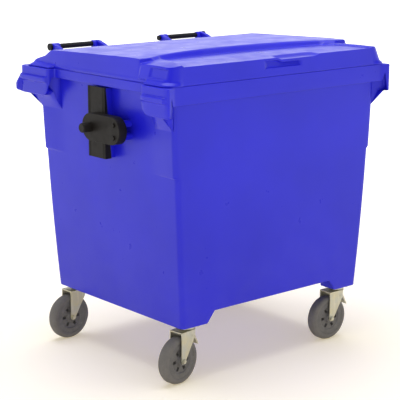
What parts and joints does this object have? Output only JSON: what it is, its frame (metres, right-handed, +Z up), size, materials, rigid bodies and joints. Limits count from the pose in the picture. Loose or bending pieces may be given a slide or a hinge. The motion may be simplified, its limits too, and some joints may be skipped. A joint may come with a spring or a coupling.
{
  "type": "four-wheeled waste container",
  "caption": "Blue flat-lid waste container on swivel castors, with a lid on rear hinge rods, side trunnion pins for lifting and footbraked front wheels.",
  "frame": {"origin": "on the ground, under the centre of the whole container's box", "axes": "+Z up, -Y towards the front edge where the lid opens, +X towards the container's right side seen from behind its front"},
  "size_m": [1.37, 1.075, 1.333],
  "materials": {
    "tub_plastic": "satin moulded polyethylene",
    "lid_plastic": "satin moulded polyethylene",
    "black_plastic": "satin",
    "grip_plastic": "ribbed, satin",
    "trunnion_black": "black powder coat",
    "rod_steel": "drawn bar",
    "zinc_steel": "zinc plated, yellow passivated",
    "bearing_plastic": "satin",
    "hub_plastic": "moulded",
    "tyre_rubber": "matt, dusty",
    "shoe_rubber": "matt"
  },
  "bodies": {
    "tub": {"tub": "tub_plastic", "hinge_rod_left": "rod_steel", "hinge_rod_right": "rod_steel", "hinge_grip_left": "grip_plastic", "hinge_grip_right": "grip_plastic", "hinge_caps_left": "black_plastic", "hinge_caps_right": "black_plastic", "trunnion_strap_left": "trunnion_black", "trunnion_strap_right": "trunnion_black", "trunnion_plate_left": "trunnion_black", "trunnion_plate_right": "trunnion_black", "trunnion_pin_left": "trunnion_black", "trunnion_pin_right": "trunnion_black", "trunnion_bolts_left": "trunnion_black", "trunnion_bolts_right": "trunnion_black", "castor_plate_front_left": "zinc_steel", "castor_plate_front_right": "zinc_steel", "castor_plate_rear_left": "zinc_steel", "castor_plate_rear_right": "zinc_steel", "castor_bolts_front_left": "zinc_steel", "castor_bolts_front_right": "zinc_steel", "castor_bolts_rear_left": "zinc_steel", "castor_bolts_rear_right": "zinc_steel", "castor_king_pin_front_left": "zinc_steel", "castor_king_pin_front_right": "zinc_steel", "castor_king_pin_rear_left": "zinc_steel", "castor_king_pin_rear_right": "zinc_steel"},
    "lid": {"lid": "lid_plastic"},
    "drain_plug": {"drain_plug": "black_plastic"},
    "castor_front_left": {"castor_race_front_left": "zinc_steel", "castor_fork_front_left": "zinc_steel", "castor_axle_front_left": "zinc_steel"},
    "wheel_front_left": {"wheel_bearing_front_left": "bearing_plastic", "wheel_hub_front_left": "hub_plastic", "wheel_tyre_front_left": "tyre_rubber"},
    "brake_front_left": {"brake_pedal_front_left": "zinc_steel", "brake_shoe_front_left": "shoe_rubber"},
    "castor_front_right": {"castor_race_front_right": "zinc_steel", "castor_fork_front_right": "zinc_steel", "castor_axle_front_right": "zinc_steel"},
    "wheel_front_right": {"wheel_bearing_front_right": "bearing_plastic", "wheel_hub_front_right": "hub_plastic", "wheel_tyre_front_right": "tyre_rubber"},
    "brake_front_right": {"brake_pedal_front_right": "zinc_steel", "brake_shoe_front_right": "shoe_rubber"},
    "castor_rear_left": {"castor_race_rear_left": "zinc_steel", "castor_fork_rear_left": "zinc_steel", "castor_axle_rear_left": "zinc_steel"},
    "wheel_rear_left": {"wheel_bearing_rear_left": "bearing_plastic", "wheel_hub_rear_left": "hub_plastic", "wheel_tyre_rear_left": "tyre_rubber"},
    "castor_rear_right": {"castor_race_rear_right": "zinc_steel", "castor_fork_rear_right": "zinc_steel", "castor_axle_rear_right": "zinc_steel"},
    "wheel_rear_right": {"wheel_bearing_rear_right": "bearing_plastic", "wheel_hub_rear_right": "hub_plastic", "wheel_tyre_rear_right": "tyre_rubber"}
  },
  "joints": [
    {"name": "lid_hinge", "type": "hinge", "parent": "tub", "child": "lid", "pos_m": [0, 0.5215, 1.3], "axis": [-1, 0, 0], "range_deg": [0, 270]},
    {"name": "drain_plug_turn", "type": "hinge", "parent": "tub", "child": "drain_plug", "pos_m": [0, 0.2675, 0.29], "axis": [0, 0, 1], "range_deg": [0, 90]},
    {"name": "castor_front_left_swivel", "type": "hinge", "parent": "tub", "child": "castor_front_left", "pos_m": [-0.439, -0.4185, 0.236], "axis": [0, 0, 1], "continuous": true},
    {"name": "wheel_front_left_spin", "type": "hinge", "parent": "castor_front_left", "child": "wheel_front_left", "pos_m": [-0.49644, -0.42657, 0.1], "axis": [0.1392, -0.9903, 0], "continuous": true},
    {"name": "brake_front_left_press", "type": "hinge", "parent": "castor_front_left", "child": "brake_front_left", "pos_m": [-0.44296, -0.41906, 0.198], "axis": [-0.1392, 0.9903, 0], "range_deg": [0, 7]},
    {"name": "castor_front_right_swivel", "type": "hinge", "parent": "tub", "child": "castor_front_right", "pos_m": [0.439, -0.4185, 0.236], "axis": [0, 0, 1], "continuous": true},
    {"name": "wheel_front_right_spin", "type": "hinge", "parent": "castor_front_right", "child": "wheel_front_right", "pos_m": [0.38104, -0.41648, 0.1], "axis": [-0.0349, -0.9994, 0], "continuous": true},
    {"name": "brake_front_right_press", "type": "hinge", "parent": "castor_front_right", "child": "brake_front_right", "pos_m": [0.435, -0.41836, 0.198], "axis": [0.0349, 0.9994, 0], "range_deg": [0, 7]},
    {"name": "castor_rear_left_swivel", "type": "hinge", "parent": "tub", "child": "castor_rear_left", "pos_m": [-0.439, 0.3535, 0.236], "axis": [0, 0, 1], "continuous": true},
    {"name": "wheel_rear_left_spin", "type": "hinge", "parent": "castor_rear_left", "child": "wheel_rear_left", "pos_m": [-0.49696, 0.35148, 0.1], "axis": [0.0349, -0.9994, 0], "continuous": true},
    {"name": "castor_rear_right_swivel", "type": "hinge", "parent": "tub", "child": "castor_rear_right", "pos_m": [0.439, 0.3535, 0.236], "axis": [0, 0, 1], "continuous": true},
    {"name": "wheel_rear_right_spin", "type": "hinge", "parent": "castor_rear_right", "child": "wheel_rear_right", "pos_m": [0.381, 0.3535, 0.1], "axis": [0, -1, 0], "continuous": true}
  ]
}
